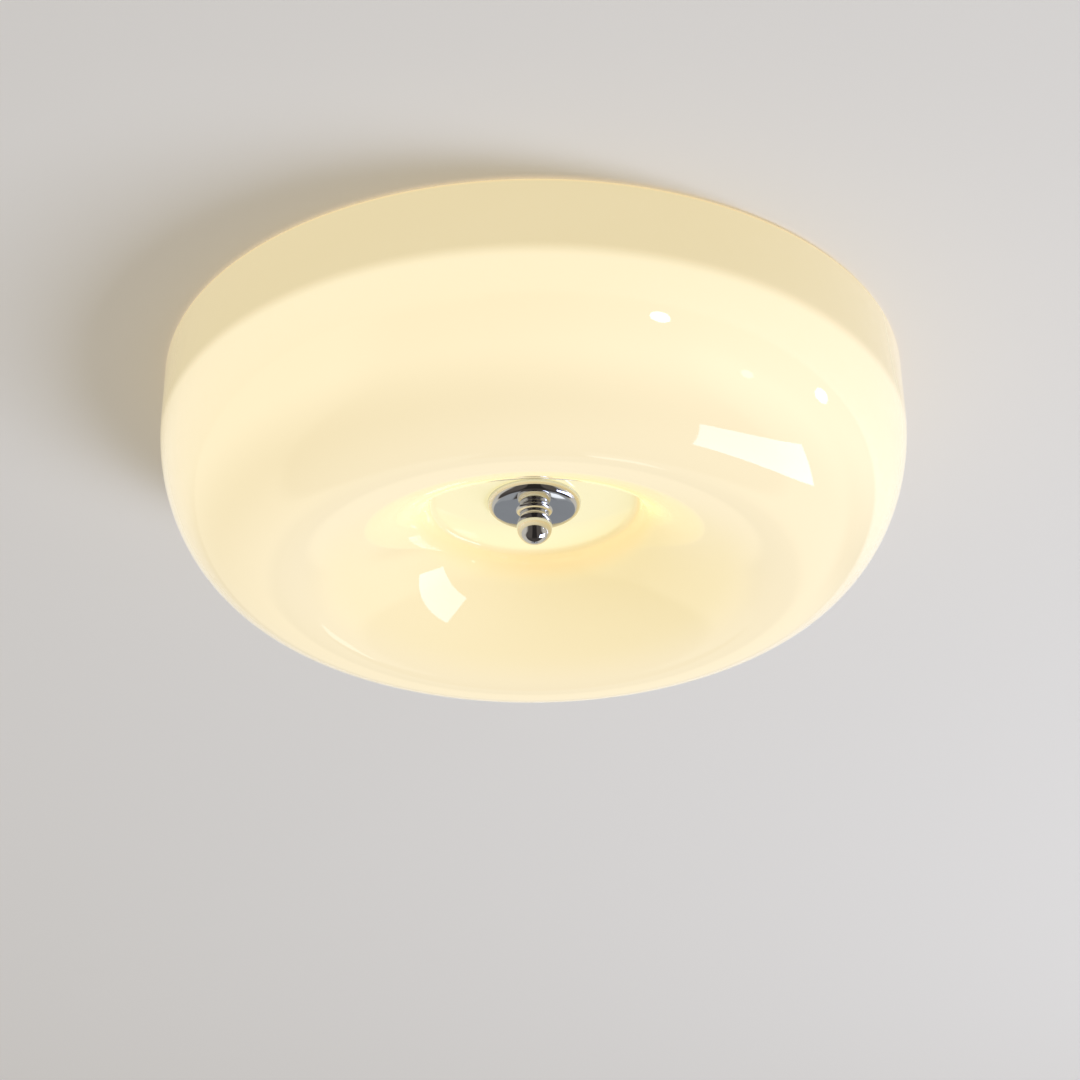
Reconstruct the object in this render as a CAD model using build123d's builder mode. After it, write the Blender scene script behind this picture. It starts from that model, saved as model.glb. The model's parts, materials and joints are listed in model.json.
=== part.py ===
from build123d import *
from math import acos, cos, degrees, radians, sin, tan
import os

# Flush ceiling light with a cream glass ring shade, 400 mm across.
# Millimetres, +Z up. The origin is the middle of the ceiling plane, and the light hangs below it.

# --- driving dimensions -------------------------------------------------------------------------

# Glass shade: a straight side, a wide rounded shoulder and a hollow in the middle of its underside
shade_diameter = 400.0
shade_depth = 117.4  # ceiling to the lowest ring of the glass
glass_wall = 4.5
rim_gap = 0.8  # air between the ceiling and the ground rim
rim_taper = 0.6  # the rim is this much smaller in radius than the side
rim_round_share = 0.25  # ground edge of the rim to the wall
shoulder_across = 65.7  # the shoulder, measured inwards from the side
shoulder_height = 83.6  # and upwards from the lowest ring
hollow_diameter = 113.4  # floor of the hollow
hollow_depth = 50.6
hollow_fullness = 0.43  # reach of the curve's handles, 0.55 being a quarter ellipse
hollow_crease = 4.0
glass_hole = 14.0

# Steel base pan that hides in the shade
pan_room = 6.0  # air between the pan's side and the glass
pan_sheet = 1.0
pan_bend = 3.5
pan_top_bend = 1.5
pan_flange = 11.0
seal_thickness = 2.0
seal_width = 8.0

# Strap that goes to the ceiling, with lowered ends
strap_length = 214.0
strap_width = 26.0
strap_sheet = 2.0
strap_drop = 7.0  # the ends are this much below the ceiling
strap_flat = 128.0  # stretch that lies on the ceiling
strap_slope = 9.0  # length of each step, measured along the strap
strap_corner = 6.0
slot_spacing = 84.0
slot_length = 24.0
slot_width = 5.2
cable_hole = 18.0

# Hanging bolts of the pan, M4
bolt_spacing = 190.0
bolt_diameter = 4.0
bolt_head_diameter = 8.0
bolt_head_height = 2.6
bolt_nut_across = 7.0
bolt_nut_height = 3.2
cap_nut_hex_height = 4.0
cap_nut_dome_height = 3.6
cap_nut_end_thickness = 1.8  # metal left at the end of the cap nut's thread
bolt_end_gap = 0.5
pan_washer_diameter = 12.0
pan_washer_thickness = 1.0

# Threaded tube in the middle, M10 x 1. Its nuts set the pan's depth.
tube_diameter = 10.0
tube_bore = 6.5
tube_above_nut = 2.5
tube_nut_across = 17.0
tube_nut_height = 5.0
tube_nut_room = 6.6  # between the glass's stop nut and the pan's lower nut
lock_washer_diameter = 20.0
lock_washer_thickness = 2.0
lock_washer_split = 1.2
tube_washer_diameter = 30.0
tube_washer_thickness = 1.6
stop_washer_diameter = 44.0
stop_washer_thickness = 1.5

# Silicone between the glass and the metal
bush_diameter = 40.0
bush_flange = 1.6
gasket_diameter = 44.0
gasket_width = 12.0
gasket_thickness = 1.0

# Chromed cap and ball knob
cap_diameter = 50.0
cap_dome = 4.6
cap_lip = 1.0  # straight edge above the dome
cap_lip_wall = 1.6
cap_above_glass = 0.3
neck_diameter = 15.6
neck_height = 2.0
neck_round = 0.6
neck_flare = 1.2  # hollow round from the dome into the neck
knob_groove = 0.7
knob_groove_diameter = 12.8
knob_collar_height = 1.9
ball_diameter = 19.0
ball_below_collar = 5.1  # collar's underside to the middle of the ball
knob_thread_depth = 14.0
knob_end_gap = 1.0

# LED ring board
board_outer_diameter = 324.0
board_inner_diameter = 214.0
board_thickness = 1.6
board_screw_diameter = 266.0
board_screw_count = 6
outer_light_diameter = 298.0
outer_light_count = 24
inner_light_diameter = 236.0
inner_light_count = 12
chip_side = 3.5
chip_height = 0.8
lens_diameter = 12.0
lens_height = 5.2
lens_wall = 1.2

# Pan heads: cross recess and round, as shares of the head
recess_length_share = 0.6
recess_width_share = 0.14
recess_depth_share = 0.55
head_round_share = 0.4

# Small screws, M3, for the board, the driver and the terminal block
screw_diameter = 3.0
screw_head_diameter = 5.6
screw_head_height = 2.0
screw_grip = 3.0  # thread into and past the sheet that it holds

# Driver that feeds the LED board
driver_length = 150.0
driver_width = 44.0
driver_case_height = 17.0
driver_lid_height = 9.0
driver_wall = 1.8
driver_round = 3.0
lid_round_share = 0.6  # round of the lid's top to the wall
driver_screw_edge = 5.0  # the driver's screws to the board's inner edge
vent_count = 9
vent_length = 20.0
vent_width = 2.4
vent_pitch = 7.0
peg_diameter = 5.0
peg_height = 3.0
driver_board_thickness = 1.6
driver_board_room = 0.6  # air round the driver's own board
transformer_length = 24.0
transformer_width = 22.0
transformer_height = 15.0
transformer_place = -18.0  # along the driver, from its middle
# the winding's bulge as shares of the core
bobbin_length_share = 0.55
bobbin_width_share = 1.25
bobbin_height_share = 0.6
capacitor_diameter = 10.0
capacitor_height = 15.0
capacitor_pitch = 13.0
capacitor_count = 3
capacitor_place = 30.0

# Fixing ears of the driver and of the terminal block
ear_length = 9.0
ear_width = 12.0
ear_thickness = 2.4

# Mains terminal block, three poles
terminal_pitch = 12.0
terminal_poles = 3
terminal_width = 20.0
terminal_height = 16.0
terminal_round = 1.0
terminal_place = 58.0  # middle of the block, sideways from the middle of the pan, on the other side
terminal_bore_level = 6.4  # wire holes above the pan's floor
sleeve_length = 16.0
sleeve_diameter = 6.0
sleeve_bore = 3.6
clamp_screw_diameter = 2.6
clamp_screw_head = 4.2
clamp_screw_head_height = 2.0
clamp_screw_pitch = 9.0  # the two screws on one pole

# Leads
mains_lead_diameter = 2.6
led_lead_diameter = 2.0
core_share = 0.6  # bare copper to insulation
core_length = 6.0
driver_wire_level = 9.0  # wire holes above the pan's floor
driver_wire_pitch = 8.0
wire_inside = 5.0  # leads reach this far inside the driver
lead_turn = 18.0  # mains leads turn this far out from the driver's end
bend_share = 0.45  # of the shorter run, used up by a bend
grommet_diameter = 15.6
grommet_groove = 12.4
grommet_bore = 9.0
grommet_lip = 1.6
grommet_round_share = 0.4
grommet_x = 90.0
grommet_y = 34.0
led_lead_pitch = 2.4
plug_length = 9.0
plug_width = 8.0
plug_height = 6.0
plug_chamfer = 0.6
plug_edge = 1.5  # plug's back from the board's inner edge

# Earth screw, lug and toothed washer in the pan, and the strap's own earth screw, M4
earth_x = 44.0
earth_y = -84.0
strap_earth_place = 81.0
lug_thickness = 0.8
lug_ring = 9.5
lug_neck = 5.5
lug_strip = 3.7  # width of the strip from the ring to the barrel
lug_barrel_length = 8.0
lug_barrel_diameter = 4.6
toothed_washer_thickness = 0.7
tooth_count = 10
tooth_gap = 1.0
tooth_depth = 0.8
earth_screw_past = 2.0  # thread past the sheet or strap that it holds

# Silicone bumpers between the pan's side and the glass
bumper_count = 6
bumper_height = 8.0
bumper_width = 14.0
bumper_below_ceiling = 9.0
bumper_air = 0.8  # air left to the glass

# Clearances on the radius
thread_fit = 0.05
glue_line = 0.1
clearance = 0.3
same_radius = 0.001  # two radii nearer than this are one ring

# --- derived places -----------------------------------------------------------------------------

shade_radius = shade_diameter / 2
rim_radius = shade_radius - rim_taper
shoulder_top = -(shade_depth - shoulder_height)  # level at which the side meets the shoulder
ring_radius = shade_radius - shoulder_across  # radius of the lowest ring
hollow_radius = hollow_diameter / 2
hollow_floor = -shade_depth + hollow_depth  # underside of the glass round the cap
glass_floor = hollow_floor + glass_wall  # its upper side, inside the shade

pan_radius = rim_radius - glass_wall - pan_room
seat_level = glass_floor + bush_flange  # the stop washer rests on the bush here
stop_nut = seat_level + stop_washer_thickness
lower_nut = stop_nut + tube_nut_height + tube_nut_room
pan_under = lower_nut + tube_nut_height + tube_washer_thickness
pan_floor = pan_under + pan_sheet  # upper side of the pan's floor

strap_end_under = -strap_drop - strap_sheet
bolt_reach = bolt_spacing / 2
bolt_radius = bolt_diameter / 2
bolt_bottom = (
    pan_under
    - pan_washer_thickness
    - cap_nut_hex_height
    - cap_nut_dome_height
    + cap_nut_end_thickness
    + bolt_end_gap
)
screw_radius = screw_diameter / 2

tube_radius = tube_diameter / 2
tube_top = pan_floor + lock_washer_thickness + tube_nut_height + tube_above_nut

cap_seat = hollow_floor - gasket_thickness  # upper side of the cap
dome_rim = hollow_floor - cap_above_glass - cap_lip  # level of the cap's widest ring
dome_bottom = dome_rim - cap_dome
knob_top = dome_bottom - neck_height
collar_top = knob_top - knob_groove
ball_middle = collar_top - knob_collar_height - ball_below_collar
tube_bottom = knob_top - knob_thread_depth + knob_end_gap

board_under = pan_under - board_thickness
driver_wires = pan_floor + driver_wire_level
driver_end = driver_length / 2
driver_screw_x = driver_end + ear_length / 2
driver_screw_reach = board_inner_diameter / 2 - driver_screw_edge
driver_place = (driver_screw_reach**2 - driver_screw_x**2) ** 0.5  # sideways from the middle
terminal_bore = pan_floor + terminal_bore_level
terminal_face = terminal_width / 2 - terminal_place  # side of the block that the leads leave


def save(part, label):
    part.label = label
    export_step(part, f"parts/{label}.step")


def washer(outer, inner, top, thickness):
    """Flat ring about the Z axis, hanging down from its top level."""
    with BuildPart() as ring:
        with BuildSketch(Plane.XY.offset(top)):
            Circle(outer / 2)
            Circle(inner / 2, mode=Mode.SUBTRACT)
        extrude(amount=-thickness)
    return ring.part


def hex_nut(across, thread, bottom, height):
    """Hexagon nut about the Z axis with its corners turned down at both faces."""
    corner = across / 2 / cos(radians(30))
    turned = (corner - across / 2) * tan(radians(30))
    with BuildPart() as nut:
        with BuildSketch(Plane.XY.offset(bottom)):
            RegularPolygon(across / 2, 6, major_radius=False)
            Circle(thread / 2 + thread_fit, mode=Mode.SUBTRACT)
        extrude(amount=height)
        with BuildSketch(Plane.XZ):
            with BuildLine():
                Polyline(
                    (0, bottom),
                    (across / 2, bottom),
                    (corner, bottom + turned),
                    (corner, bottom + height - turned),
                    (across / 2, bottom + height),
                    (0, bottom + height),
                    close=True,
                )
            make_face()
        revolve(axis=Axis.Z, mode=Mode.INTERSECT)
    return nut.part


def pan_screw(thread, head, head_height, length):
    """Pan-head screw with a cross recess, its head under z = 0 and its thread pointing up."""
    recess_long, recess_wide = head * recess_length_share, head * recess_width_share
    with BuildPart() as screw:
        with BuildSketch():
            Circle(head / 2)
        extrude(amount=-head_height)
        fillet(screw.edges().group_by(Axis.Z)[0], head_height * head_round_share)
        with BuildSketch(Plane.XY.offset(-head_height)):
            Rectangle(recess_long, recess_wide)
            Rectangle(recess_wide, recess_long)
        extrude(amount=head_height * recess_depth_share, mode=Mode.SUBTRACT)
        with BuildSketch():
            Circle(thread / 2)
        extrude(amount=length)
    return screw.part


def downward(screw):
    return Rot(180, 0, 0) * screw


def at(part, *places):
    """Copies of the part as separate solids, moved to the places."""
    return Compound(children=[Pos(*place) * part for place in places])


def ring_places(count, diameter, start=0.0):
    """Points spaced evenly on a circle about the Z axis."""
    angles = [radians(start + 360.0 / count * step) for step in range(count)]
    return [(diameter / 2 * cos(angle), diameter / 2 * sin(angle)) for angle in angles]


def bend_radii(points):
    """Largest even bends: a share of the shorter run, over the tangent of half the turn."""
    radii = []
    for before, corner, after in zip(points, points[1:], points[2:]):
        run_in, run_out = Vector(*corner) - Vector(*before), Vector(*after) - Vector(*corner)
        half_turn = radians(run_in.get_angle(run_out) / 2)
        radii.append(bend_share * min(run_in.length, run_out.length) / tan(half_turn))
    return radii


def lead(diameter, *points):
    """Round insulated wire along bends through the points, with a bare core at its first end."""
    radii = bend_radii(points)
    start = Vector(*points[0])
    heading = (Vector(*points[1]) - start).normalized()
    with BuildPart() as wire:
        with BuildLine() as route:
            FilletPolyline(*points, radius=radii)
        with BuildSketch(Plane(origin=start, z_dir=heading)):
            Circle(diameter / 2)
        sweep(path=route.line)
        with BuildSketch(Plane(origin=start, z_dir=-heading)):
            Circle(diameter * core_share / 2)
        extrude(amount=core_length)
    print("lead: least bend", round(min(radii), 1), "length", round(route.wire().length, 1))
    return wire.part


os.makedirs("parts", exist_ok=True)

# --- glass shade --------------------------------------------------------------------------------

glass_side = shade_radius - glass_wall  # inner face of the straight side
glass_low = -shade_depth + glass_wall  # inner face at the lowest ring
inner_hollow = hollow_radius + glass_wall  # inner face round the hollow
handle_out = hollow_fullness * (ring_radius - hollow_radius)
handle_in = hollow_fullness * (ring_radius - inner_hollow)
handle_up = hollow_fullness * hollow_depth
with BuildPart() as glass_shade:
    with BuildSketch(Plane.XZ):
        with BuildLine():
            Line((glass_hole / 2, hollow_floor), (hollow_radius, hollow_floor))
            Bezier(
                (hollow_radius, hollow_floor),
                (hollow_radius, hollow_floor - handle_up),
                (ring_radius - handle_out, -shade_depth),
                (ring_radius, -shade_depth),
            )
            EllipticalCenterArc(
                (ring_radius, shoulder_top),
                shoulder_across,
                shoulder_height,
                start_angle=-90,
                arc_size=90,
            )
            Line((shade_radius, shoulder_top), (rim_radius, -rim_gap))
            Line((rim_radius, -rim_gap), (rim_radius - glass_wall, -rim_gap))
            Line((rim_radius - glass_wall, -rim_gap), (glass_side, shoulder_top))
            EllipticalCenterArc(
                (ring_radius, shoulder_top),
                shoulder_across - glass_wall,
                shoulder_height - glass_wall,
                start_angle=-90,
                arc_size=90,
            )
            Bezier(
                (ring_radius, glass_low),
                (ring_radius - handle_in, glass_low),
                (inner_hollow, glass_floor - handle_up),
                (inner_hollow, glass_floor),
            )
            Line((inner_hollow, glass_floor), (glass_hole / 2, glass_floor))
            Line((glass_hole / 2, glass_floor), (glass_hole / 2, hollow_floor))
        make_face()
    revolve(axis=Axis.Z)
    creases = [
        edge
        for edge in glass_shade.edges().filter_by(GeomType.CIRCLE)
        if min(abs(edge.radius - hollow_radius), abs(edge.radius - inner_hollow)) < same_radius
    ]
    fillet(creases, hollow_crease)
    fillet(glass_shade.edges().group_by(Axis.Z)[-1], glass_wall * rim_round_share)
save(glass_shade.part, "glass_shade")

# --- silicone bush and gasket on the glass ------------------------------------------------------

tube_hole = tube_diameter + 2 * clearance
with BuildPart() as shade_bush:
    with BuildSketch(Plane.XY.offset(glass_floor)):
        Circle(bush_diameter / 2)
    extrude(amount=bush_flange)
    with BuildSketch(Plane.XY.offset(glass_floor)):
        Circle(glass_hole / 2 - glue_line)
    extrude(amount=-glass_wall)
    with BuildSketch(Plane.XY.offset(hollow_floor)):
        Circle(tube_hole / 2)
    extrude(amount=glass_wall + bush_flange, mode=Mode.SUBTRACT)
save(shade_bush.part, "shade_bush")

gasket_inner = gasket_diameter - 2 * gasket_width
save(washer(gasket_diameter, gasket_inner, hollow_floor, gasket_thickness), "cap_gasket")

# --- chromed cap --------------------------------------------------------------------------------

cap_radius, neck_radius = cap_diameter / 2, neck_diameter / 2
neck_turn = degrees(acos(neck_radius / cap_radius))  # round the dome, from its rim to the neck
neck_root = dome_rim - cap_dome * sin(radians(neck_turn))
with BuildPart() as chrome_cap:
    with BuildSketch(Plane.XZ):
        with BuildLine():
            EllipticalCenterArc(
                (0, dome_rim), cap_radius, cap_dome, start_angle=-neck_turn, arc_size=neck_turn
            )
            Polyline(
                (cap_radius, dome_rim),
                (cap_radius, dome_rim + cap_lip),
                (cap_radius - cap_lip_wall, dome_rim + cap_lip),
                (cap_radius - cap_lip_wall, cap_seat),
                (tube_hole / 2, cap_seat),
                (tube_hole / 2, knob_top),
                (neck_radius, knob_top),
                (neck_radius, neck_root),
            )
        make_face()
    revolve(axis=Axis.Z)
    rings = chrome_cap.edges().filter_by(GeomType.CIRCLE)
    neck_rings = rings.filter_by(lambda ring: abs(ring.radius - neck_radius) < same_radius)
    fillet(neck_rings.sort_by(Axis.Z)[-1], neck_flare)
    fillet(neck_rings.sort_by(Axis.Z)[0], neck_round)
save(chrome_cap.part, "chrome_cap")

# --- ball knob with a blind thread --------------------------------------------------------------

collar_under = collar_top - knob_collar_height
with BuildPart() as ball_knob:
    with Locations((0, 0, ball_middle)):
        Sphere(ball_diameter / 2)
    with BuildSketch(Plane.XY.offset(collar_under)):
        Circle(ball_diameter)
    extrude(amount=ball_diameter, mode=Mode.SUBTRACT)
    with BuildSketch(Plane.XY.offset(collar_under)):
        Circle(neck_radius)
    extrude(amount=knob_collar_height)
    collar_rings = ball_knob.edges().filter_by(GeomType.CIRCLE)
    fillet(collar_rings.sort_by(Axis.Z)[-1], neck_round)
    with BuildSketch(Plane.XY.offset(knob_top)):
        Circle(knob_groove_diameter / 2)
    extrude(amount=collar_under - knob_top)
    with BuildSketch(Plane.XY.offset(knob_top)):
        Circle(tube_radius + thread_fit)
    extrude(amount=-knob_thread_depth, mode=Mode.SUBTRACT)
save(ball_knob.part, "ball_knob")

# --- strap on the ceiling -----------------------------------------------------------------------

flat_end = strap_flat / 2
step_end = flat_end + strap_slope
strap_end = strap_length / 2
with BuildPart() as mounting_strap:
    with BuildSketch(Plane.XZ):
        with BuildLine():
            Polyline(
                (0, 0),
                (flat_end, 0),
                (step_end, -strap_drop),
                (strap_end, -strap_drop),
                (strap_end, strap_end_under),
                (step_end, strap_end_under),
                (flat_end, -strap_sheet),
                (0, -strap_sheet),
                close=True,
            )
        make_face()
        mirror(about=Plane.YZ)
    extrude(amount=strap_width / 2, both=True)
    corners = mounting_strap.edges().filter_by(Axis.Z).group_by(SortBy.LENGTH)[0]
    fillet(corners, strap_corner)
    with BuildSketch():
        with Locations((-slot_spacing / 2, 0), (slot_spacing / 2, 0)):
            SlotOverall(slot_length, slot_width)
        Circle(cable_hole / 2)
        with Locations((-bolt_reach, 0), (bolt_reach, 0)):
            Circle(bolt_radius + clearance)
        with Locations((strap_earth_place, 0)):
            Circle(bolt_radius + thread_fit)
    extrude(amount=strap_end_under, mode=Mode.SUBTRACT)
save(mounting_strap.part, "mounting_strap")

# --- bolts that hang from the strap and carry the pan -------------------------------------------

bolt = pan_screw(bolt_diameter, bolt_head_diameter, bolt_head_height, -strap_drop - bolt_bottom)
bolts = [(-bolt_reach, 0, 0), (bolt_reach, 0, 0)]
save(Pos(0, 0, -strap_drop) * at(downward(bolt), *bolts), "hanging_bolts")

lock_nut_bottom = strap_end_under - bolt_nut_height
lock_nut = hex_nut(bolt_nut_across, bolt_diameter, lock_nut_bottom, bolt_nut_height)
save(at(lock_nut, *bolts), "lock_nuts")

pan_washer = washer(
    pan_washer_diameter, bolt_diameter + 2 * clearance, pan_under, pan_washer_thickness
)
save(at(pan_washer, *bolts), "pan_washers")

cap_nut_top = pan_under - pan_washer_thickness
cap_nut_bottom = cap_nut_top - cap_nut_hex_height
cap_nut_radius = bolt_nut_across / 2
with BuildPart() as cap_nut:
    add(hex_nut(bolt_nut_across, bolt_diameter, cap_nut_bottom, cap_nut_hex_height))
    with BuildSketch(Plane.XZ):
        with BuildLine():
            EllipticalCenterArc(
                (0, cap_nut_bottom), cap_nut_radius, cap_nut_dome_height, start_angle=-90, arc_size=90
            )
            Polyline((cap_nut_radius, cap_nut_bottom), (0, cap_nut_bottom))
            Line((0, cap_nut_bottom), (0, cap_nut_bottom - cap_nut_dome_height))
        make_face()
    revolve(axis=Axis.Z)
    with BuildSketch(Plane.XY.offset(cap_nut_top)):
        Circle(bolt_radius + thread_fit)
    extrude(amount=-(cap_nut_hex_height + cap_nut_dome_height - cap_nut_end_thickness), mode=Mode.SUBTRACT)
save(at(cap_nut.part, *bolts), "cap_nuts")

# --- base pan and its ceiling seal --------------------------------------------------------------

board_screws = ring_places(board_screw_count, board_screw_diameter)
driver_screws = [(-driver_screw_x, driver_place), (driver_screw_x, driver_place)]
terminal_half = terminal_pitch * terminal_poles / 2
terminal_screw_x = terminal_half + ear_length / 2
terminal_screws = [(-terminal_screw_x, -terminal_place), (terminal_screw_x, -terminal_place)]
pan_wall = pan_radius - pan_sheet  # inner face of the pan's side
with BuildPart() as base_pan:
    with BuildSketch(Plane.XZ):
        with BuildLine():
            Polyline(
                (0, pan_under),
                (pan_radius, pan_under),
                (pan_radius, -seal_thickness),
                (pan_radius - pan_flange, -seal_thickness),
                (pan_radius - pan_flange, -seal_thickness - pan_sheet),
                (pan_wall, -seal_thickness - pan_sheet),
                (pan_wall, pan_floor),
                (0, pan_floor),
                close=True,
            )
        make_face()
    revolve(axis=Axis.Z)
    pan_rings = base_pan.edges().filter_by(GeomType.CIRCLE)
    outer_rings = pan_rings.filter_by(lambda ring: abs(ring.radius - pan_radius) < same_radius)
    inner_rings = pan_rings.filter_by(lambda ring: abs(ring.radius - pan_wall) < same_radius)
    fillet(outer_rings.sort_by(Axis.Z)[0], pan_bend)
    fillet(inner_rings.sort_by(Axis.Z)[0], pan_bend - pan_sheet)
    fillet(outer_rings.sort_by(Axis.Z)[-1], pan_top_bend)
    fillet(inner_rings.sort_by(Axis.Z)[-1], pan_top_bend - pan_sheet)
    with BuildSketch(Plane.XY.offset(pan_under)):
        Circle(tube_hole / 2)
        with Locations((-bolt_reach, 0), (bolt_reach, 0)):
            Circle(bolt_radius + clearance)
        with Locations((grommet_x, grommet_y)):
            Circle(grommet_groove / 2 + glue_line)
        with Locations(*board_screws, *driver_screws, *terminal_screws):
            Circle(screw_radius + thread_fit)
        with Locations((earth_x, earth_y)):
            Circle(bolt_radius + thread_fit)
    extrude(amount=pan_sheet, mode=Mode.SUBTRACT)
save(base_pan.part, "base_pan")

seal_outer = 2 * (pan_radius - pan_top_bend)
save(washer(seal_outer, seal_outer - 2 * seal_width, 0, seal_thickness), "ceiling_seal")

# --- threaded tube, its nuts and washers --------------------------------------------------------

save(washer(tube_diameter, tube_bore, tube_top, tube_top - tube_bottom), "threaded_tube")

upper_nut = pan_floor + lock_washer_thickness
tube_nut = hex_nut(tube_nut_across, tube_diameter, 0, tube_nut_height)
save(at(tube_nut, (0, 0, upper_nut), (0, 0, lower_nut), (0, 0, stop_nut)), "tube_nuts")

with BuildPart() as lock_washer:
    add(washer(lock_washer_diameter, tube_hole, upper_nut, lock_washer_thickness))
    with BuildSketch(Plane.XY.offset(pan_floor)):
        with Locations((lock_washer_diameter / 2, 0)):
            Rectangle(lock_washer_diameter, lock_washer_split)
    extrude(amount=lock_washer_thickness, mode=Mode.SUBTRACT)
save(lock_washer.part, "lock_washer")

save(washer(tube_washer_diameter, tube_hole, pan_under, tube_washer_thickness), "tube_washer")
save(washer(stop_washer_diameter, tube_hole, stop_nut, stop_washer_thickness), "stop_washer")

# --- LED ring board -----------------------------------------------------------------------------

with BuildPart() as led_board:
    with BuildSketch(Plane.XY.offset(pan_under)):
        Circle(board_outer_diameter / 2)
        Circle(board_inner_diameter / 2, mode=Mode.SUBTRACT)
        with Locations(*board_screws):
            Circle(screw_radius + clearance, mode=Mode.SUBTRACT)
    extrude(amount=-board_thickness)
save(led_board.part, "led_board")

board_screw = pan_screw(
    screw_diameter, screw_head_diameter, screw_head_height, board_thickness + screw_grip
)
save(at(board_screw, *[(x, y, board_under) for x, y in board_screws]), "board_screws")

outer_half_turn = 180.0 / outer_light_count  # the outer lights stand between the board's screws
with BuildPart() as led_chips:
    with BuildSketch(Plane.XY.offset(board_under)):
        with PolarLocations(outer_light_diameter / 2, outer_light_count, outer_half_turn):
            Rectangle(chip_side, chip_side)
        with PolarLocations(inner_light_diameter / 2, inner_light_count):
            Rectangle(chip_side, chip_side)
    extrude(amount=-chip_height)
save(led_chips.part, "led_chips")

lens_radius = lens_diameter / 2
with BuildPart() as lens:
    with BuildSketch(Plane.XZ):
        with BuildLine():
            EllipticalCenterArc(
                (0, board_under), lens_radius, lens_height, start_angle=-90, arc_size=90
            )
            Line((lens_radius, board_under), (lens_radius - lens_wall, board_under))
            EllipticalCenterArc(
                (0, board_under),
                lens_radius - lens_wall,
                lens_height - lens_wall,
                start_angle=-90,
                arc_size=90,
            )
            Line((0, board_under - lens_height + lens_wall), (0, board_under - lens_height))
        make_face()
    revolve(axis=Axis.Z)
lights = ring_places(outer_light_count, outer_light_diameter, outer_half_turn) + ring_places(
    inner_light_count, inner_light_diameter
)
save(at(lens.part, *[(x, y, 0) for x, y in lights]), "led_lenses")

# --- driver -------------------------------------------------------------------------------------

driver_split = pan_floor + driver_case_height  # the lid meets the case here
peg_top = pan_floor + driver_wall + peg_height
inside_length = driver_length - 2 * driver_wall
inside_width = driver_width - 2 * driver_wall
peg_along, peg_across = inside_length / 2 - peg_diameter, inside_width / 2 - peg_diameter
driver_wire_places = [driver_place - driver_wire_pitch / 2, driver_place + driver_wire_pitch / 2]
with BuildPart() as driver_case:
    with BuildSketch(Plane((0, driver_place, pan_floor))):
        RectangleRounded(driver_length, driver_width, driver_round)
    extrude(amount=driver_case_height)
    with BuildSketch(Plane((0, driver_place, pan_floor + driver_wall))):
        Rectangle(inside_length, inside_width)
    extrude(amount=driver_case_height, mode=Mode.SUBTRACT)
    with BuildSketch(Plane((0, driver_place, pan_floor + driver_wall))):
        with GridLocations(2 * peg_along, 2 * peg_across, 2, 2):
            Circle(peg_diameter / 2)
    extrude(amount=peg_height)
    with BuildSketch(Plane((0, driver_place, pan_floor))):
        with GridLocations(driver_length + ear_length, 0, 2, 1):
            Rectangle(ear_length, ear_width)
            Circle(screw_radius + clearance, mode=Mode.SUBTRACT)
    extrude(amount=ear_thickness)
    with BuildSketch(Plane.YZ):
        with Locations(*[(place, driver_wires) for place in driver_wire_places]):
            Circle(mains_lead_diameter / 2 + clearance)
    extrude(amount=driver_length, both=True, mode=Mode.SUBTRACT)
save(driver_case.part, "driver_case")

with BuildPart() as driver_lid:
    with BuildSketch(Plane((0, driver_place, driver_split))):
        RectangleRounded(driver_length, driver_width, driver_round)
    extrude(amount=driver_lid_height)
    fillet(driver_lid.edges().group_by(Axis.Z)[-1], driver_wall * lid_round_share)
    with BuildSketch(Plane((0, driver_place, driver_split))):
        Rectangle(inside_length, inside_width)
    extrude(amount=driver_lid_height - driver_wall, mode=Mode.SUBTRACT)
    with BuildSketch(Plane((0, driver_place, driver_split))):
        with GridLocations(vent_pitch, 0, vent_count, 1):
            SlotOverall(vent_length, vent_width, rotation=90)
    extrude(amount=driver_lid_height, mode=Mode.SUBTRACT)
save(driver_lid.part, "driver_lid")

with BuildPart() as driver_board:
    with BuildSketch(Plane((0, driver_place, peg_top))):
        Rectangle(inside_length - 2 * driver_board_room, inside_width - 2 * driver_board_room)
    extrude(amount=driver_board_thickness)
save(driver_board.part, "driver_board")

parts_level = peg_top + driver_board_thickness
with BuildPart() as transformer:
    with BuildSketch(Plane((transformer_place, driver_place, parts_level))):
        Rectangle(transformer_length, transformer_width)
    extrude(amount=transformer_height)
    with BuildSketch(Plane((transformer_place, driver_place, parts_level + transformer_height / 2))):
        Rectangle(transformer_length * bobbin_length_share, transformer_width * bobbin_width_share)
    extrude(amount=transformer_height * bobbin_height_share / 2, both=True)
save(transformer.part, "transformer")

with BuildPart() as capacitors:
    with BuildSketch(Plane((capacitor_place, driver_place, parts_level))):
        with GridLocations(capacitor_pitch, 0, capacitor_count, 1):
            Circle(capacitor_diameter / 2)
    extrude(amount=capacitor_height)
save(capacitors.part, "capacitors")

ear_screw = downward(
    pan_screw(screw_diameter, screw_head_diameter, screw_head_height, ear_thickness + screw_grip)
)
ear_top = pan_floor + ear_thickness
save(at(ear_screw, *[(x, y, ear_top) for x, y in driver_screws]), "driver_screws")

# --- mains terminal block -----------------------------------------------------------------------

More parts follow.
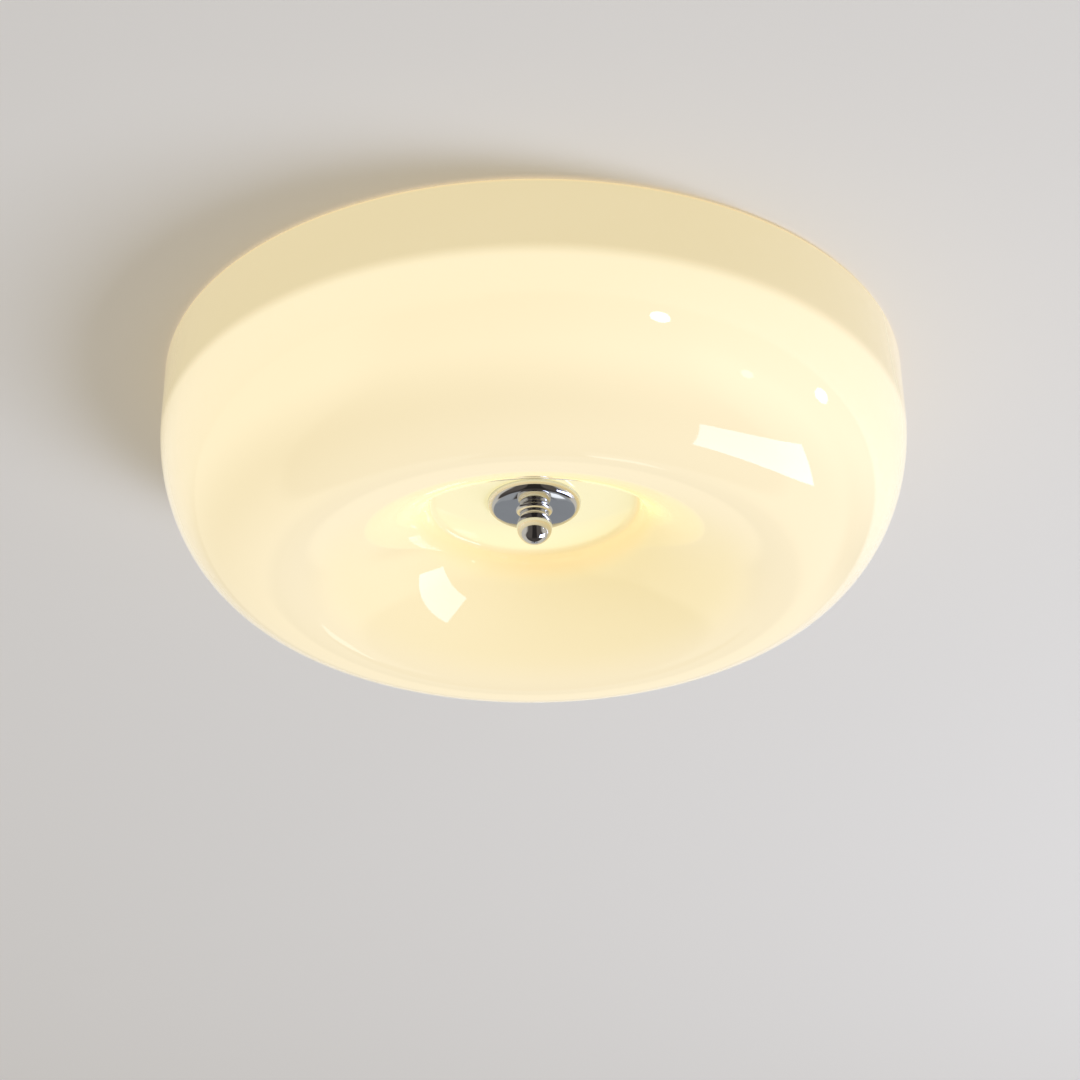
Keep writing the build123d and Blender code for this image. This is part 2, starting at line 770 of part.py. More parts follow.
poles = [terminal_pitch * (pole - (terminal_poles - 1) / 2) for pole in range(terminal_poles)]
clamp_places = [
    (pole, side * clamp_screw_pitch / 2 - terminal_place) for pole in poles for side in (-1, 1)
]
with BuildPart() as terminal_block:
    with BuildSketch(Plane((0, -terminal_place, pan_floor))):
        Rectangle(2 * terminal_half, terminal_width)
    extrude(amount=terminal_height)
    fillet(terminal_block.edges().filter_by(Axis.Z), terminal_round)
    with BuildSketch(Plane((0, -terminal_place, pan_floor))):
        with GridLocations(2 * terminal_half + ear_length, 0, 2, 1):
            Rectangle(ear_length, ear_width)
            Circle(screw_radius + clearance, mode=Mode.SUBTRACT)
    extrude(amount=ear_thickness)
    with BuildSketch(Plane.XZ.offset(terminal_place - terminal_width / 2)):
        with Locations(*[(pole, terminal_bore) for pole in poles]):
            Circle(sleeve_diameter / 2 + glue_line)
    extrude(amount=terminal_width, mode=Mode.SUBTRACT)
    with BuildSketch(Plane.XY.offset(terminal_bore)):
        with Locations(*clamp_places):
            Circle(clamp_screw_head / 2 + clearance)
    extrude(amount=terminal_height, mode=Mode.SUBTRACT)
save(terminal_block.part, "terminal_block")

with BuildPart() as terminal_sleeves:
    with BuildSketch(Plane.XZ.offset(terminal_place - sleeve_length / 2)):
        with Locations(*[(pole, terminal_bore) for pole in poles]):
            Circle(sleeve_diameter / 2)
            Circle(sleeve_bore / 2, mode=Mode.SUBTRACT)
    extrude(amount=sleeve_length)
    with BuildSketch(Plane.XY.offset(terminal_bore)):
        with Locations(*clamp_places):
            Circle(clamp_screw_diameter / 2 + thread_fit)
    extrude(amount=terminal_height, mode=Mode.SUBTRACT)
save(terminal_sleeves.part, "terminal_sleeves")

core_top = terminal_bore + mains_lead_diameter * core_share / 2
clamp_head_level = terminal_bore + sleeve_diameter / 2 + clearance
clamp_screw = downward(
    pan_screw(
        clamp_screw_diameter,
        clamp_screw_head,
        clamp_screw_head_height,
        clamp_head_level - core_top - glue_line,
    )
)
save(at(clamp_screw, *[(x, y, clamp_head_level) for x, y in clamp_places]), "clamp_screws")
save(at(ear_screw, *[(x, y, ear_top) for x, y in terminal_screws]), "terminal_screws")

# --- leads, grommet and plug --------------------------------------------------------------------

live_pole, neutral_pole, earth_pole = poles
near_wire, far_wire = driver_wire_places
inside_end = driver_end - wire_inside
bend_out = driver_end + lead_turn
save(
    lead(
        mains_lead_diameter,
        (live_pole, terminal_face, terminal_bore),
        (live_pole, terminal_face + 18, terminal_bore),
        (live_pole - 50, terminal_face + 34, terminal_bore),
        (-bend_out, terminal_face + 62, terminal_bore),
        (-bend_out - 2, far_wire, driver_wires),
        (-inside_end, far_wire, driver_wires),
    ),
    "live_lead",
)
save(
    lead(
        mains_lead_diameter,
        (neutral_pole, terminal_face, terminal_bore),
        (neutral_pole, terminal_face + 25, terminal_bore),
        (neutral_pole - 56, terminal_face + 42, terminal_bore),
        (-bend_out + 8, terminal_face + 66, terminal_bore),
        (-bend_out + 6, near_wire, driver_wires),
        (-inside_end, near_wire, driver_wires),
    ),
    "neutral_lead",
)

lug_level = pan_floor + toothed_washer_thickness
barrel_radius = lug_barrel_diameter / 2
barrel_level = lug_level + barrel_radius
barrel_start = earth_y + lug_neck
barrel_end = barrel_start + lug_barrel_length
save(
    lead(
        mains_lead_diameter,
        (earth_pole, terminal_face, terminal_bore),
        (earth_pole, terminal_face + 16, terminal_bore),
        (earth_x, terminal_face + 16, terminal_bore),
        (earth_x, barrel_end + 9, barrel_level),
        (earth_x + 0.3, barrel_start + 1, barrel_level),
    ),
    "earth_lead",
)

near_drop, far_drop = grommet_x - led_lead_pitch / 2, grommet_x + led_lead_pitch / 2
upper_wire = board_under - plug_height / 2 + led_lead_pitch / 2
lower_wire = board_under - plug_height / 2 - led_lead_pitch / 2
plug_start = (board_inner_diameter**2 / 4 - grommet_y**2) ** 0.5 + plug_edge
for label, wire, drop, level in (
    ("positive_lead", near_wire, near_drop, lower_wire),
    ("negative_lead", far_wire, far_drop, upper_wire),
):
    save(
        lead(
            led_lead_diameter,
            (inside_end, wire, driver_wires),
            (drop, wire, driver_wires),
            (drop, grommet_y, driver_wires),
            (drop, grommet_y, level),
            (plug_start, grommet_y, level),
        ),
        label,
    )

with BuildPart() as led_plug:
    with BuildSketch(Plane((plug_start + plug_length / 2, grommet_y, board_under))):
        Rectangle(plug_length, plug_width)
    extrude(amount=-plug_height)
    chamfer(led_plug.edges().filter_by(Axis.Z), plug_chamfer)
save(led_plug.part, "led_plug")

lip_radius, groove_radius = grommet_diameter / 2, grommet_groove / 2
with BuildPart() as lead_grommet:
    with BuildSketch(Plane((grommet_x, grommet_y, pan_floor + grommet_lip))):
        Circle(lip_radius)
    extrude(amount=-pan_sheet - 2 * grommet_lip)
    fillet(lead_grommet.edges(), grommet_lip * grommet_round_share)
    with BuildSketch(Plane((grommet_x, grommet_y, pan_floor))):
        Circle(lip_radius)
        Circle(groove_radius, mode=Mode.SUBTRACT)
    extrude(amount=-pan_sheet, mode=Mode.SUBTRACT)
    with BuildSketch(Plane((grommet_x, grommet_y, pan_floor + grommet_lip))):
        Circle(grommet_bore / 2)
    extrude(amount=-pan_sheet - 2 * grommet_lip, mode=Mode.SUBTRACT)
save(lead_grommet.part, "lead_grommet")

# --- earth connections --------------------------------------------------------------------------

with BuildPart() as toothed_washer:
    add(washer(bolt_head_diameter, bolt_diameter + 2 * clearance, lug_level, toothed_washer_thickness))
    with BuildSketch(Plane.XY.offset(pan_floor)):
        with PolarLocations(bolt_head_diameter / 2, tooth_count):
            Rectangle(2 * tooth_depth, tooth_gap)
    extrude(amount=toothed_washer_thickness, mode=Mode.SUBTRACT)
save(Pos(earth_x, earth_y, 0) * toothed_washer.part, "toothed_washer")

with BuildPart() as earth_lug:
    with BuildSketch(Plane((earth_x, earth_y, lug_level))):
        Circle(lug_ring / 2)
        with Locations((0, barrel_start - earth_y)):
            Rectangle(lug_strip, lug_neck)
        Circle(bolt_radius + clearance, mode=Mode.SUBTRACT)
    extrude(amount=lug_thickness)
    with BuildSketch(Plane.XZ.offset(-barrel_start)):
        with Locations((earth_x, barrel_level)):
            Circle(barrel_radius)
    extrude(amount=-lug_barrel_length)
    with BuildSketch(Plane.XZ.offset(-barrel_start)):
        with Locations((earth_x, barrel_level)):
            Circle(mains_lead_diameter / 2 + clearance)
    extrude(amount=-lug_barrel_length, mode=Mode.SUBTRACT)
save(earth_lug.part, "earth_lug")

lug_top = lug_level + lug_thickness
earth_screw = pan_screw(
    bolt_diameter, bolt_head_diameter, bolt_head_height, lug_top - pan_under + earth_screw_past
)
save(at(downward(earth_screw), (earth_x, earth_y, lug_top)), "earth_screw")

strap_screw = pan_screw(
    bolt_diameter, bolt_head_diameter, bolt_head_height, strap_sheet + earth_screw_past
)
save(at(strap_screw, (strap_earth_place, 0, strap_end_under)), "strap_earth_screw")

# --- bumpers that keep the shade central --------------------------------------------------------

bumper_inner = pan_radius + glue_line
bumper_outer = pan_radius + pan_room - bumper_air
across_gap = 3 * pan_room  # reaches past both faces of the gap
with BuildPart() as side_bumpers:
    with BuildSketch(Plane.XY.offset(-bumper_below_ceiling - bumper_height)):
        Circle(bumper_outer)
        Circle(bumper_inner, mode=Mode.SUBTRACT)
        with PolarLocations(pan_radius, bumper_count, 180.0 / bumper_count):
            Rectangle(across_gap, bumper_width, mode=Mode.INTERSECT)
    extrude(amount=bumper_height)
save(side_bumpers.part, "side_bumpers")
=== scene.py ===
import bpy
import json
from math import acos, atan2, cos, degrees, hypot, pi, radians, sin, tan
from mathutils import Matrix, Vector


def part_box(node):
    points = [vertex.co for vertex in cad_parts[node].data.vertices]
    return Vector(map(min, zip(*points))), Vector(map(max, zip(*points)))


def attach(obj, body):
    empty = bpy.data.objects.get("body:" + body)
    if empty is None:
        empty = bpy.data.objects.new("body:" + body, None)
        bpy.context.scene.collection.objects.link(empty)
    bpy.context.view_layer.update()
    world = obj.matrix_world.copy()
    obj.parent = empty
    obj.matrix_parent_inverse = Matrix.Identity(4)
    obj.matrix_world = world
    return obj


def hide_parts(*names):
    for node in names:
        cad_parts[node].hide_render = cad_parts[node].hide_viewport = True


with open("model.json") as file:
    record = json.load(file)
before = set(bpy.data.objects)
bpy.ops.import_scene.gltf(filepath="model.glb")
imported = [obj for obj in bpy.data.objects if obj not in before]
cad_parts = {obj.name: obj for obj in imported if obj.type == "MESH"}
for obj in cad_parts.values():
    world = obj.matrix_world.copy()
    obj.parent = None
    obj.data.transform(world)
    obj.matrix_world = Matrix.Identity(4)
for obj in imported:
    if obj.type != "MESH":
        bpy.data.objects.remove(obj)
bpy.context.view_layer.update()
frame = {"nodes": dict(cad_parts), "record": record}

nodes = frame["nodes"]
scene = bpy.context.scene
scene.view_settings.view_transform = "Standard"
mm = 0.001

cameraLook = {
    "place": (0.0, -1.2125, -0.7477),  # below the ceiling and in front of the lamp
    "turn": (118.471, 0.505, 0.139),  # degrees
    "lens": 86.7,
    "sensor": 36.0,
}


def placeCamera(look):
    camera = bpy.data.cameras.new("camera")
    camera.lens = look["lens"]
    camera.sensor_width = look["sensor"]
    cameraObject = bpy.data.objects.new("camera", camera)
    cameraObject.location = look["place"]
    cameraObject.rotation_euler = [radians(turn) for turn in look["turn"]]
    scene.collection.objects.link(cameraObject)
    scene.camera = cameraObject


placeCamera(cameraLook)

# the way to each light, its width and height as seen from the lamp, and how bright it is
# the softbox lights the glass but isn't mirrored; its face is mirrored but lights nothing
lightDistance = 3.0  # metres
lights = {
    "softbox": {
        "way": (0.61, 0.21, -0.70), "across": (0.3135, 0.2015, 0.338), "up": (-0.14, 0.3025, -0.033),
        "bright": 8.4, "colour": (0.767, 0.856, 1.0), "mirrored": False,
    },
    "softboxFace": {
        "way": (0.597, 0.206, -0.685), "across": (0.3070, 0.1973, 0.331), "up": (-0.137, 0.2962, -0.0323),
        "bright": 5.3, "colour": (0.62, 0.69, 1.0), "lights": False,
    },
    "nearDish": {"way": (0.568, -0.812, -0.132), "size": 0.10, "bright": 14.0},
    "sideDish": {"way": (0.993, 0.012, -0.113), "size": 0.10, "bright": 7.5},
    "lowDish": {"way": (0.854, -0.382, -0.354), "size": 0.07, "bright": 3.0},
    "topDish": {"way": (-0.25, -0.10, 0.963), "size": 0.35, "bright": 10.0},  # lights the pan from above
}


def addLight(name, look):
    way = Vector(look["way"])
    lamp = bpy.data.lights.new(name, "AREA")
    if "across" in look:
        across, up = Vector(look["across"]), Vector(look["up"])
        lamp.shape = "RECTANGLE"
        lamp.size = across.length * lightDistance
        lamp.size_y = up.length * lightDistance
        area = lamp.size * lamp.size_y
        side = across.normalized()
        back = side.cross(up).normalized()
    else:
        lamp.shape = "DISK"
        lamp.size = look["size"] * lightDistance
        area = pi * lamp.size**2 / 4
        back = way.normalized()
        side = back.orthogonal().normalized()
    if back.dot(way) < 0:
        back = -back
    lamp.energy = look["bright"] * area * pi
    lamp.color = look.get("colour", (1, 1, 1))
    turned = Matrix((side, back.cross(side), back)).transposed().to_4x4()
    lampObject = bpy.data.objects.new(name, lamp)
    lampObject.matrix_world = Matrix.Translation(way * lightDistance) @ turned
    lampObject.visible_glossy = look.get("mirrored", True)
    lampObject.visible_diffuse = look.get("lights", True)
    scene.collection.objects.link(lampObject)


for name, look in lights.items():
    addLight(name, look)


def link(tree, start, end):
    tree.links.new(start, end)


def feed(tree, socket, value):  # from another node, or a constant
    if isinstance(value, bpy.types.NodeSocket):
        link(tree, value, socket)
    else:
        socket.default_value = value


def addNode(tree, kind, place, **settings):
    node = tree.nodes.new(kind)
    node.location = place
    for setting, value in settings.items():
        setattr(node, setting, value)
    return node


def addMath(tree, operation, values, place, **settings):
    node = addNode(tree, "ShaderNodeMath", place, operation=operation, **settings)
    for socket, value in zip(node.inputs, values):
        feed(tree, socket, value)
    return node.outputs[0]


def addFade(tree, value, ends, place):  # nought at the first end, one at the second
    node = addNode(tree, "ShaderNodeMapRange", place, interpolation_type="SMOOTHSTEP")
    node.inputs["From Min"].default_value, node.inputs["From Max"].default_value = ends
    link(tree, value, node.inputs["Value"])
    return node.outputs["Result"]


def addBlend(tree, share, first, second, place):
    node = addNode(tree, "ShaderNodeMix", place, data_type="RGBA")
    link(tree, share, node.inputs["Factor"])
    feed(tree, node.inputs["A"], first)
    feed(tree, node.inputs["B"], second)
    return node.outputs["Result"]


def addChoice(tree, share, first, second, place):  # the second shader where the share is one
    node = addNode(tree, "ShaderNodeMixShader", place)
    link(tree, share, node.inputs["Fac"])
    link(tree, first, node.inputs[1])
    link(tree, second, node.inputs[2])
    return node.outputs[0]


# what the glossy pieces see, by the direction's x, y and z: walls, a gap and a window above a dim floor
roomLook = {
    "wall": (0.30, 0.315, 0.335, 1),
    "paleWall": (0.38, 0.395, 0.41, 1),
    "wallEdge": (-0.535, -0.543),
    "gap": (0.075, 0.065, 0.058, 1),
    "gapEdge": (0.040, 0.033),
    "gapAhead": (0.0, 0.3),
    "window": (1.3, 1.35, 1.4, 1),
    "windowAcross": (0.028, 0.033, 0.066, 0.071),
    "windowUp": (-0.60, -0.593, -0.552, -0.545),
    "pale": (0.70, 0.66, 0.58, 1),  # the rest of the far half, as bright as the glass
    "paleAside": (0.11, 0.26),
    "paleAbove": (-0.41, -0.34),
    "right": (0.30, 0.28, 0.24, 1),  # dimmer high up on the window's side
    "rightAside": (0.25, 0.55),
    "rightAbove": (-0.35, -0.20),
    "floor": (0.075, 0.065, 0.058, 1),
    "floorEdge": (-0.63, -0.70),
    "behind": (0.115, 0.10, 0.088, 1),  # the darker half of the room, on the camera's side
    "behindEdge": (0.45, 0.15),
    "behindAside": (0.85, 0.60),
    "behindAbove": (0.10, -0.10),
    "stand": (0.03, 0.026, 0.024, 1),
    "standEdge": (0.27, 0.20),
    "fill": 0.503,  # what lights the matt pieces
    "fillColour": (1.0, 0.962, 0.834, 1),
    "seen": 0.82,  # what the camera sees round the object from above
}


def colourRoom(tree, look):
    direction = addNode(tree, "ShaderNodeTexCoord", (-900, 0))
    parts = addNode(tree, "ShaderNodeSeparateXYZ", (-700, 0))
    link(tree, direction.outputs["Generated"], parts.inputs[0])
    across, forward, up = (parts.outputs[axis] for axis in "XYZ")
    aside = addMath(tree, "ABSOLUTE", [across], (-600, 0))

    def fade(value, ends):
        return addFade(tree, value, ends, (-500, 0))

    def both(first, second):
        return addMath(tree, "MULTIPLY", [first, second], (-400, 0))

    def inside(value, ends):
        start, full, fullEnd, end = ends
        return both(fade(value, (start, full)), fade(value, (end, fullEnd)))

    below = fade(up, look["wallEdge"])
    gap = both(both(below, fade(forward, look["gapAhead"])), fade(aside, look["gapEdge"]))
    behind = both(fade(forward, look["behindEdge"]), fade(aside, look["behindAside"]))
    behind = both(behind, fade(up, look["behindAbove"]))
    layers = [
        (gap, "gap"),
        (both(inside(across, look["windowAcross"]), inside(up, look["windowUp"])), "window"),
        (fade(aside, look["paleAside"]), "pale"),
        (fade(up, look["paleAbove"]), "pale"),
        (both(fade(across, look["rightAside"]), fade(up, look["rightAbove"])), "right"),
        (fade(up, look["floorEdge"]), "floor"),
        (behind, "behind"),
        (both(behind, fade(aside, look["standEdge"])), "stand"),
    ]
    colour = addBlend(tree, below, look["wall"], look["paleWall"], (-350, 0))
    for share, name in layers:
        colour = addBlend(tree, share, colour, look[name], (-350, 0))
    return colour


def buildWorld(look):
    world = bpy.data.worlds.new("room")
    scene.world = world
    world.use_nodes = True
    tree = world.node_tree
    tree.nodes.clear()
    room = addNode(tree, "ShaderNodeBackground", (-200, 0))
    link(tree, colourRoom(tree, look), room.inputs["Color"])
    fill = addNode(tree, "ShaderNodeBackground", (-200, -150))
    fill.inputs["Color"].default_value = look["fillColour"]
    fill.inputs["Strength"].default_value = look["fill"]
    seen = addNode(tree, "ShaderNodeBackground", (-200, -300))
    seen.inputs["Strength"].default_value = look["seen"]
    ray = addNode(tree, "ShaderNodeLightPath", (-400, 300))
    shown = addChoice(tree, ray.outputs["Is Glossy Ray"], fill.outputs[0], room.outputs[0], (50, 0))
    shown = addChoice(tree, ray.outputs["Is Camera Ray"], shown, seen.outputs[0], (250, 0))
    output = addNode(tree, "ShaderNodeOutputWorld", (450, 0))
    link(tree, shown, output.inputs["Surface"])


buildWorld(roomLook)

ceilingLook = {"colour": (0.83, 0.797, 0.80, 1), "size": 9.0, "gap": 0.0003}  # metres


def buildCeiling(look):  # only its underside shows, and light comes through it
    bpy.ops.object.select_all(action="DESELECT")
    bpy.ops.mesh.primitive_plane_add(size=look["size"], location=(0, 0, look["gap"]), rotation=(pi, 0, 0))
    ceiling = bpy.context.object
    ceiling.name = "ceiling"
    material = bpy.data.materials.new("ceilingPaint")
    material.use_nodes = True
    tree = material.node_tree
    tree.nodes.clear()
    paint = addNode(tree, "ShaderNodeBsdfDiffuse", (-200, 0))
    paint.inputs["Color"].default_value = look["colour"]
    away = addNode(tree, "ShaderNodeBsdfTransparent", (-200, -150))
    ray = addNode(tree, "ShaderNodeLightPath", (-700, 300))
    face = addNode(tree, "ShaderNodeNewGeometry", (-700, -100))
    looked = ray.outputs["Is Camera Ray"]
    for other in ("Is Glossy Ray", "Is Transmission Ray"):
        looked = addMath(tree, "MAXIMUM", [looked, ray.outputs[other]], (-500, 250))
    shown = addMath(tree, "SUBTRACT", [looked, face.outputs["Backfacing"]], (-200, 200), use_clamp=True)
    mixed = addChoice(tree, shown, away.outputs[0], paint.outputs[0], (50, 0))
    output = addNode(tree, "ShaderNodeOutputMaterial", (250, 0))
    link(tree, mixed, output.inputs["Surface"])
    ceiling.data.materials.append(material)


buildCeiling(ceilingLook)
print("camera, lamps, ceiling and room are in place")


def newGroup(name, inputs, outputs):
    group = bpy.data.node_groups.new(name, "ShaderNodeTree")
    for label, kind, value in inputs:
        socket = group.interface.new_socket(label, in_out="INPUT", socket_type="NodeSocket" + kind)
        socket.default_value = value
    for label, kind in outputs:
        group.interface.new_socket(label, in_out="OUTPUT", socket_type="NodeSocket" + kind)
    start = addNode(group, "NodeGroupInput", (-900, 0))
    end = addNode(group, "NodeGroupOutput", (600, 0))
    return group, start, end


noiseEnds = (0.3, 0.7)  # the part of a noise's range that it nearly always keeps to


def roughenOut(group, value, ends, start, end):
    rough = addNode(group, "ShaderNodeMapRange", (-100, 0))
    rough.inputs["From Min"].default_value, rough.inputs["From Max"].default_value = ends
    link(group, value, rough.inputs["Value"])
    link(group, start.outputs["Rough Low"], rough.inputs["To Min"])
    link(group, start.outputs["Rough High"], rough.inputs["To Max"])
    link(group, rough.outputs["Result"], end.inputs["Roughness"])


def buildMottle():  # soft patches of two colours, and a fine grain for the bump
    inputs = [
        ("Vector", "Vector", (0, 0, 0)),
        ("Colour A", "Color", (1, 1, 1, 1)), ("Colour B", "Color", (0, 0, 0, 1)),
        ("Patches", "Float", 20.0), ("Grain", "Float", 900.0),
        ("Rough Low", "Float", 0.3), ("Rough High", "Float", 0.5),
    ]
    outputs = [("Colour", "Color"), ("Roughness", "Float"), ("Height", "Float")]
    group, start, end = newGroup("mottle", inputs, outputs)
    patches = addNode(group, "ShaderNodeTexNoise", (-650, 200))
    patches.inputs["Detail"].default_value = 5
    grain = addNode(group, "ShaderNodeTexNoise", (-650, -200))
    grain.inputs["Detail"].default_value = 3
    for noise, scale in ((patches, "Patches"), (grain, "Grain")):
        link(group, start.outputs["Vector"], noise.inputs["Vector"])
        link(group, start.outputs[scale], noise.inputs["Scale"])
    spread = addNode(group, "ShaderNodeMapRange", (-400, 200))
    spread.inputs["From Min"].default_value, spread.inputs["From Max"].default_value = noiseEnds
    link(group, patches.outputs["Fac"], spread.inputs["Value"])
    share = spread.outputs["Result"]
    colour = addBlend(group, share, start.outputs["Colour A"], start.outputs["Colour B"], (-100, 250))
    link(group, colour, end.inputs["Colour"])
    roughenOut(group, share, (0, 1), start, end)
    link(group, grain.outputs["Fac"], end.inputs["Height"])
    return group


def buildStreaks():  # long fine lines of rolled or turned metal
    inputs = [
        ("Vector", "Vector", (0, 0, 0)), ("Stretch", "Vector", (20, 900, 900)),
        ("Rough Low", "Float", 0.25), ("Rough High", "Float", 0.45),
    ]
    group, start, end = newGroup("streaks", inputs, [("Roughness", "Float"), ("Height", "Float")])
    stretched = addNode(group, "ShaderNodeVectorMath", (-650, 0), operation="MULTIPLY")
    link(group, start.outputs["Vector"], stretched.inputs[0])
    link(group, start.outputs["Stretch"], stretched.inputs[1])
    lines = addNode(group, "ShaderNodeTexNoise", (-400, 0))
    lines.inputs["Scale"].default_value = 1.0
    lines.inputs["Detail"].default_value = 4
    link(group, stretched.outputs["Vector"], lines.inputs["Vector"])
    roughenOut(group, lines.outputs["Fac"], noiseEnds, start, end)
    link(group, lines.outputs["Fac"], end.inputs["Height"])
    return group


mottle = buildMottle()
streaks = buildStreaks()


def startMaterial(name, sockets):
    material = bpy.data.materials.new(name)
    material.use_nodes = True
    tree = material.node_tree
    shader = tree.nodes["Principled BSDF"]
    for socket, value in sockets.items():
        shader.inputs[socket].default_value = value
    place = addNode(tree, "ShaderNodeTexCoord", (-1100, 0))
    return material, tree, shader, place.outputs["Object"]


def addGroup(tree, group, place, rough, at):
    node = addNode(tree, "ShaderNodeGroup", at, node_tree=group)
    link(tree, place, node.inputs["Vector"])
    node.inputs["Rough Low"].default_value, node.inputs["Rough High"].default_value = rough
    return node


def bumpInto(tree, shader, height, look):
    bump = addNode(tree, "ShaderNodeBump", (-250, -300))
    bump.inputs["Strength"].default_value = look["bump"]
    bump.inputs["Distance"].default_value = look["depth"]
    link(tree, height, bump.inputs["Height"])
    link(tree, bump.outputs["Normal"], shader.inputs["Normal"])


def distanceFromAxis(tree, place):
    flat = addNode(tree, "ShaderNodeVectorMath", (-900, -100), operation="MULTIPLY")
    flat.inputs[1].default_value = (1, 1, 0)
    link(tree, place, flat.inputs[0])
    radius = addNode(tree, "ShaderNodeVectorMath", (-750, -100), operation="LENGTH")
    link(tree, flat.outputs["Vector"], radius.inputs[0])
    return radius.outputs["Value"]


finishBase = {"depth": 0.0001, "sockets": {}}  # where a finish says nothing else; the bump's depth in metres


def makeFinish(name, look):
    look = {**finishBase, **look}
    material, tree, shader, place = startMaterial(name, look["sockets"])
    group = addGroup(tree, mottle, place, look["rough"], (-700, 0))
    group.inputs["Colour A"].default_value = (*look["colour"], 1)
    group.inputs["Colour B"].default_value = (*look["other"], 1)
    group.inputs["Patches"].default_value = look["patches"]
    group.inputs["Grain"].default_value = look["grain"]
    link(tree, group.outputs["Colour"], shader.inputs["Base Color"])
    surface = group
    if "stretch" in look:
        surface = addGroup(tree, streaks, place, look["rough"], (-700, -300))
        surface.inputs["Stretch"].default_value = look["stretch"]
    link(tree, surface.outputs["Roughness"], shader.inputs["Roughness"])
    bumpInto(tree, shader, surface.outputs["Height"], look)
    return material


finishes = {
    "white_pan": {
        "colour": (0.80, 0.79, 0.76), "other": (0.74, 0.73, 0.70), "patches": 18, "grain": 1400,
        "rough": (0.32, 0.46), "bump": 0.25, "depth": 0.0002,
        "sockets": {"Coat Weight": 0.15, "Coat Roughness": 0.2},
    },
    "zinc_steel": {
        "colour": (0.62, 0.63, 0.64), "other": (0.50, 0.515, 0.54), "patches": 90, "grain": 700,
        "rough": (0.26, 0.42), "bump": 0.15, "stretch": (40, 1500, 1500), "sockets": {"Metallic": 1.0},
    },
    "tube_steel": {
        "colour": (0.60, 0.60, 0.59), "other": (0.47, 0.47, 0.46), "patches": 150, "grain": 1600,
        "rough": (0.24, 0.38), "bump": 0.12, "sockets": {"Metallic": 1.0},
    },
    "chrome": {
        "colour": (0.71, 0.715, 0.725), "other": (0.66, 0.665, 0.675), "patches": 60, "grain": 500,
        "rough": (0.015, 0.05), "bump": 0.004, "sockets": {"Metallic": 1.0},
    },
    "silicone": {
        "colour": (0.72, 0.71, 0.66), "other": (0.66, 0.65, 0.60), "patches": 60, "grain": 900,
        "rough": (0.42, 0.55), "bump": 0.08,
        "sockets": {"Subsurface Weight": 0.25, "Subsurface Scale": 0.002},
    },
    "white_foam": {
        "colour": (0.66, 0.65, 0.61), "other": (0.52, 0.51, 0.48), "patches": 260, "grain": 2600,
        "rough": (0.85, 0.97), "bump": 0.6, "depth": 0.0004,
    },
    "chip_yellow": {
        "colour": (0.88, 0.66, 0.14), "other": (0.80, 0.55, 0.10), "patches": 600, "grain": 2600,
        "rough": (0.35, 0.5), "bump": 0.1,
        "sockets": {"Emission Color": (1.0, 0.86, 0.55, 1), "Emission Strength": 2.2},
    },
    "clear_lens": {
        "colour": (0.93, 0.93, 0.92), "other": (0.88, 0.88, 0.86), "patches": 300, "grain": 1500,
        "rough": (0.12, 0.22), "bump": 0.05,
        "sockets": {
            "Alpha": 0.55, "Coat Weight": 0.6, "Coat Roughness": 0.08,
            # painted glow: the lenses get emission standing in for the chips' light shining through them
            "Emission Color": (1.0, 0.88, 0.62, 1), "Emission Strength": 0.55,
        },
    },
    "driver_white": {
        "colour": (0.78, 0.78, 0.77), "other": (0.74, 0.74, 0.72), "patches": 30, "grain": 2200,
        "rough": (0.42, 0.55), "bump": 0.35, "depth": 0.00015,
    },
    "board_green": {
        "colour": (0.02, 0.13, 0.045), "other": (0.03, 0.17, 0.06), "patches": 200, "grain": 1500,
        "rough": (0.25, 0.4), "bump": 0.1,
    },
    "transformer_yellow": {
        "colour": (0.70, 0.47, 0.06), "other": (0.60, 0.38, 0.05), "patches": 120, "grain": 900,
        "rough": (0.3, 0.45), "bump": 0.2, "depth": 0.0002,
    },
    "capacitor_black": {
        "colour": (0.02, 0.02, 0.024), "other": (0.035, 0.035, 0.04), "patches": 150, "grain": 1200,
        "rough": (0.2, 0.35), "bump": 0.1,
    },
    "terminal_white": {
        "colour": (0.74, 0.73, 0.69), "other": (0.69, 0.68, 0.63), "patches": 80, "grain": 1500,
        "rough": (0.28, 0.4), "bump": 0.12,
        "sockets": {"Subsurface Weight": 0.15, "Subsurface Scale": 0.001},
    },
    "brass": {
        "colour": (0.78, 0.60, 0.27), "other": (0.66, 0.48, 0.20), "patches": 200, "grain": 1500,
        "rough": (0.2, 0.36), "bump": 0.1, "sockets": {"Metallic": 1.0},
    },
    "plug_white": {
        "colour": (0.72, 0.71, 0.66), "other": (0.67, 0.66, 0.60), "patches": 100, "grain": 1500,
        "rough": (0.28, 0.4), "bump": 0.1,
    },
    "grommet_black": {
        "colour": (0.014, 0.014, 0.015), "other": (0.03, 0.03, 0.03), "patches": 120, "grain": 1400,
        "rough": (0.5, 0.65), "bump": 0.15,
    },
}
leadBase = {"patches": 120, "grain": 1200, "rough": (0.3, 0.42), "bump": 0.1}
leads = {
    "lead_brown": {"colour": (0.075, 0.032, 0.014), "other": (0.095, 0.042, 0.02)},
    "lead_blue": {"colour": (0.012, 0.055, 0.33), "other": (0.02, 0.075, 0.40)},
    "lead_red": {"colour": (0.42, 0.012, 0.01), "other": (0.50, 0.02, 0.015)},
    "lead_black": {"colour": (0.012, 0.012, 0.013), "other": (0.022, 0.022, 0.023)},
}
finishes.update({slot: {**leadBase, **look} for slot, look in leads.items()})
materials = {slot: makeFinish(slot, look) for slot, look in finishes.items()}
